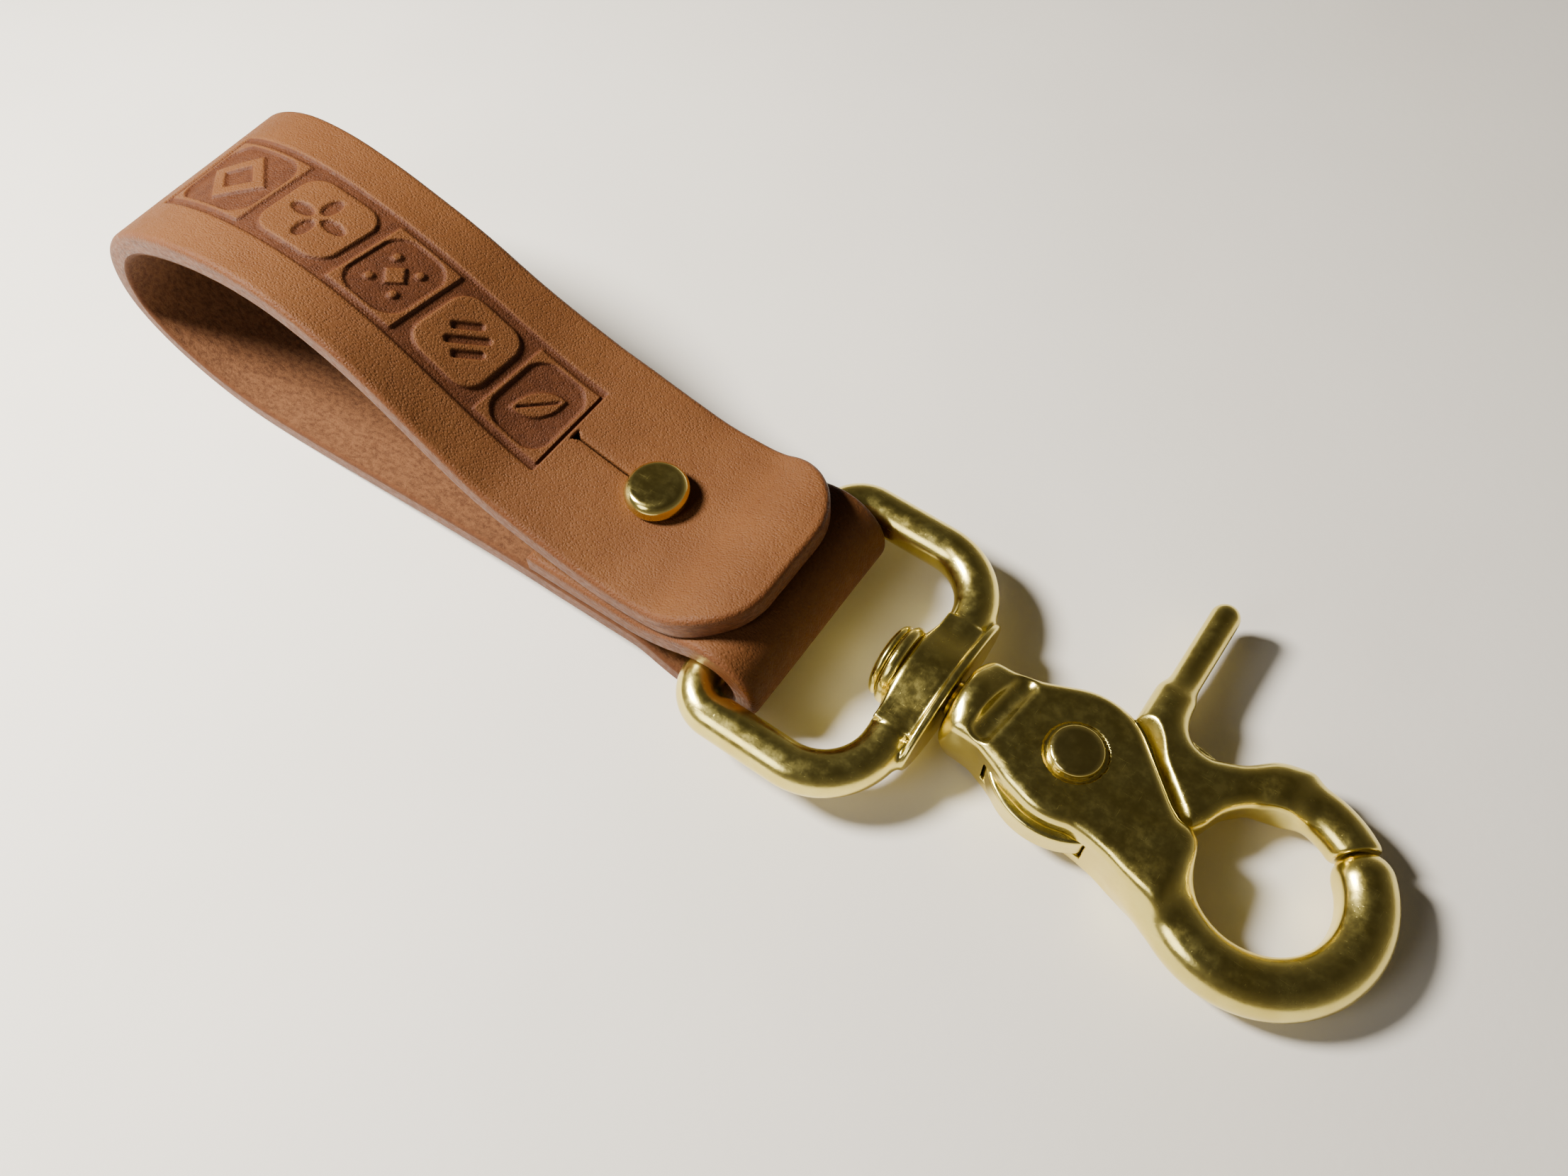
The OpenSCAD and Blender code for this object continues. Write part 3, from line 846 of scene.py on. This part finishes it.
def snap_field(x, y, z):
    """Collar, two cheeks and the hook, with the trigger's slot between the cheeks."""
    rho = np.hypot(y, z)
    swell = 4.3 + 0.62 * np.exp(-((x - 25.9) / 1.7) ** 2)
    collar = slab(rho - swell, x - 26.9, 2.5, 0.9)
    plate = slab(CHEEKS(x, y), z, CHEEK_Z, 1.35)
    body = meet(collar, plate, 1.5)
    ring = arc_bar(x, y, z, HOOK, HOOK_R, HOOK_BAR, 200, 397)
    body = meet(body, ring, 3.2)
    groove = capsule(x, y, np.abs(z), (28.7, -3.3, 5.0), (29.7, 3.5, 5.0), 1.5)
    body = carve(body, groove, 0.4)
    slot_plan = np.minimum(
        np.hypot(x - PIVOT_X, y) - SLOT_R,
        outline(x, y, [(PIVOT_X, -3.2), (54, -3.2), (54, 12), (31.2, 12), (31.2, 4)]))
    body = carve(body, np.maximum(slot_plan, np.abs(z) - SLOT_Z), 0.15)
    sink = np.abs(np.hypot(x - PIVOT_X, y) - 3.05) - 0.22
    body = carve(body, np.maximum(sink, 4.0 - np.abs(z)), 0.15)
    body = carve(body, np.maximum(rho - 1.85, x - BORE_END), 0.15)
    body = carve(body, np.hypot(x - PIVOT_X, y) - 1.52, 0.1)
    return carve(body, inner_flat(x, y), 0.35)


def inner_flat(x, y):
    """The hook's hole is bored out, which leaves a flat band round its inside."""
    return np.hypot(x - HOOK[0], y - HOOK[1]) - 7.15


LEVER_X = 42.9
LEVER_R = 1.65
PLATE_Z = 2.8
FILLET = (48.6, 12.8)
TRIGGER_OUTLINE = (
    [(LEVER_X - LEVER_R, 6), (LEVER_X - LEVER_R, 13), (FILLET[0] - 4.2, FILLET[1])]
    + [polar(FILLET, 4.2, a) for a in range(192, 286, 12)]
    + [(51.6, 9.7), (54.6, 11.6), (58.2, 12.7), (58.2, 7.5), (55, 6.5), (52.9, 4.4), (52.0, 2), (50.7, 0.3),
       (49.4, 0.25), (42, 6)])
TRIGGER_PLAN = Plan(TRIGGER_OUTLINE, 0.35)


def trigger_field(x, y, z):
    """Flat hub, the plate that closes on the cheeks, the lever and the jaw."""
    from_pivot = np.hypot(x - PIVOT_X, y)
    hub = slab(from_pivot - HUB_R, z, HUB_Z, 0.45)
    web = slab(outline(x, y, [(PIVOT_X, 0), (49.5, 1.2), (54, 8), (LEVER_X - 1.3, 10)]), z, HUB_Z, 0.2)
    plate = slab(TRIGGER_PLAN(x, y), z, PLATE_Z, 1.9)
    core = np.interp(y, (9, 18), (1.1, 0.5))
    lever = capsule(x, y, np.maximum(np.abs(z) - core, 0), (LEVER_X, 7.7, 0), (LEVER_X, 24.75, 0), LEVER_R)
    jaw = arc_bar(x, y, z, HOOK, 10.15, 2.6, 47, 104)
    outer = meet(meet(plate, lever, 2.6), jaw, 2.4)
    face = CHEEK_R + 0.28
    lean = np.maximum(np.abs(z) - 1.1, 0) * 0.75
    cheek_side = meet(from_pivot - face, CHEEKS(x, y) - 0.28, 0.4)
    outer = carve(outer, cheek_side - lean, 0.3)
    outer = carve(outer, inner_flat(x, y) - 0.3, 0.35)
    whole = meet(outer, meet(hub, web, 0.3), 0.12)
    tip = polar(HOOK, HOOK_R, 37)
    ball = np.sqrt((x - tip[0]) ** 2 + (y - tip[1]) ** 2 + z * z) - 3.3
    whole = carve(whole, ball, 1.0)
    whole = carve(whole, from_pivot - 1.55, 0.1)
    pocket = within(np.abs(from_pivot - 3.35) - 0.65, z - 0.85)
    return carve(whole, pocket, 0.1)


def brass_piece(obj, node, body, material):
    obj.data.materials.append(material)
    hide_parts(node)
    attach(obj, body)
    return obj


def build_castings(cast_brass):
    eye = cast("eye_casting", eye_field, (-3.2, -19, -5), (24, 19, 5))
    brass_piece(eye, "swivel_eye", "eye", cast_brass)
    snap = cast("hook_casting", snap_field, (23.6, -14, -5.6), (72.6, 9.6, 5.6), (-SNAP_BACK, SNAP_Y))
    brass_piece(snap, "snap_body", "snap", cast_brass)
    lever = cast("trigger_casting", trigger_field, (28.6, -9, -4.2), (69.5, 27.4, 4.2), (-SNAP_BACK, SNAP_Y))
    brass_piece(lever, "trigger", "trigger", cast_brass)


def build_turned(cast_brass, bright):
    head_z = 10.8 + T / 2 + 0.1
    stud = rounded(
        [(0, 3.0), (2.2, 3.0), (2.2, 8.52), (3.9, 8.52), (3.9, 9.12), (2.2, 9.12), (2.2, head_z),
         (3.35, head_z), (3.7, head_z + 0.5), (3.7, head_z + 1.5), (3.05, head_z + 2.36), (0, head_z + 2.4)],
        [0, 0, 0.2, 0.2, 0, 0, 0.2, 0.25, 0.9, 0.75])
    put = lambda v: v + np.array([STUD_X, 0, 0])
    button = lathe("stud_button", stud, put)
    brass_piece(button, "stud_head", "strap", bright)
    rivet = rounded(
        [(0, -12.8), (1.9, -12.8), (1.9, 0.1), (4.0, 0.1), (4.2, 0.5), (3.9, 0.95), (3.1, 1.28), (0, 1.42)],
        [0, 0.1, 0.15, 0.3, 0.3, 0.5])
    head = lathe("swivel_rivet_head", rivet, along_snap(15.75))
    brass_piece(head, "swivel_rivet", "snap", cast_brass)
    ring = rounded(
        [(1.96, 0.0), (4.3, 0.0), (4.6, 0.35), (4.6, 0.95), (4.3, 1.3), (1.96, 1.3)],
        [0.2, 0.3, 0.3, 0.2])
    ring = ring + [(1.96, 0.0)]
    washer = lathe("swivel_washer_ring", ring, along_snap(17.1))
    brass_piece(washer, "swivel_washer", "snap", cast_brass)
    pin = rounded(
        [(0, -4.2), (1.5, -4.2), (1.5, 4.22), (2.7, 4.22), (2.9, 4.45), (2.75, 4.85), (2.25, 5.06), (0, 5.1)],
        [0, 0.05, 0.1, 0.2, 0.3, 0.35])
    head = lathe("pivot_rivet_head", pin, across_snap(PIVOT_X, 0))
    brass_piece(head, "pivot_rivet", "snap", bright)


# ------------------------------------------------------- light, floor, camera


def area_light(name, at, aim, size, watts, colour):
    data = bpy.data.lights.new(name, "AREA")
    data.shape = "DISK"
    data.size = size
    data.energy = watts
    data.color = colour
    obj = bpy.data.objects.new(name, data)
    bpy.context.scene.collection.objects.link(obj)
    back = np.array(at, float) - np.array(aim, float)
    back /= np.linalg.norm(back)
    side = np.cross((0, 0, 1), back)
    side /= np.linalg.norm(side)
    up = np.cross(back, side)
    obj.matrix_world = Matrix([[side[i], up[i], back[i], at[i]] for i in range(3)] + [[0, 0, 0, 1]])


def build_world():
    world = bpy.data.worlds.new("studio")
    bpy.context.scene.world = world
    world.use_nodes = True
    tree = world.node_tree
    back = tree.nodes["Background"]
    coords = tree.nodes.new("ShaderNodeTexCoord")
    split = tree.nodes.new("ShaderNodeSeparateXYZ")
    ramp = tree.nodes.new("ShaderNodeValToRGB")
    tree.links.new(coords.outputs["Generated"], split.inputs["Vector"])
    tree.links.new(split.outputs["Z"], ramp.inputs["Fac"])
    tree.links.new(ramp.outputs["Color"], back.inputs["Color"])
    ramp.color_ramp.elements[0].position = 0.0
    ramp.color_ramp.elements[0].color = (0.30, 0.27, 0.235, 1)
    ramp.color_ramp.elements[1].position = 0.85
    ramp.color_ramp.elements[1].color = (0.045, 0.039, 0.031, 1)
    middle = ramp.color_ramp.elements.new(0.35)
    middle.color = (0.12, 0.105, 0.085, 1)
    back.inputs["Strength"].default_value = 1.0


def build_floor():
    half = 2500
    floor = make_object("floor", [(-half, -half, 0), (half, -half, 0), (half, half, 0), (-half, half, 0)],
                        [[0, 1, 2, 3]])
    floor.location.z = -0.00002
    floor.data.materials.append(paper())


def build_camera():
    data = bpy.data.cameras.new("camera")
    data.sensor_width = 36.0
    data.lens = 30.156
    data.clip_start = 0.005
    cam = bpy.data.objects.new("camera", data)
    bpy.context.scene.collection.objects.link(cam)
    right, up, back = (0.8148, 0.5783, -0.0411), (-0.4762, 0.7080, 0.5216), (0.3307, -0.4054, 0.8522)
    at = (0.048735, -0.057757, 0.129839)
    cam.matrix_world = Matrix([[right[i], up[i], back[i], at[i]] for i in range(3)] + [[0, 0, 0, 1]])
    bpy.context.scene.camera = cam


def build_lights():
    build_world()
    area_light("key", (-0.19, -0.08, 0.22), (0.01, 0, 0), 0.075, 3.1, (1.0, 0.955, 0.88))
    area_light("fill", (-0.09, -0.27, 0.2), (-0.02, -0.08, 0), 0.16, 0.34, (1.0, 0.97, 0.92))


def paint(node, material):
    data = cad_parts[node].data
    data.materials.clear()
    data.materials.append(material)


build_camera()
build_lights()
build_floor()
CAST = brass("cast_brass", (0.85, 0.73, 0.22), (0.76, 0.62, 0.16), 0.17, 0.26, 1.0)
BRIGHT = brass("stud_brass", (0.86, 0.73, 0.24), (0.77, 0.63, 0.18), 0.12, 0.2, 0.5)
build_strap()
build_castings(CAST)
build_turned(CAST, BRIGHT)
paint("stud_screw", BRIGHT)
paint("trigger_spring", spring_steel())
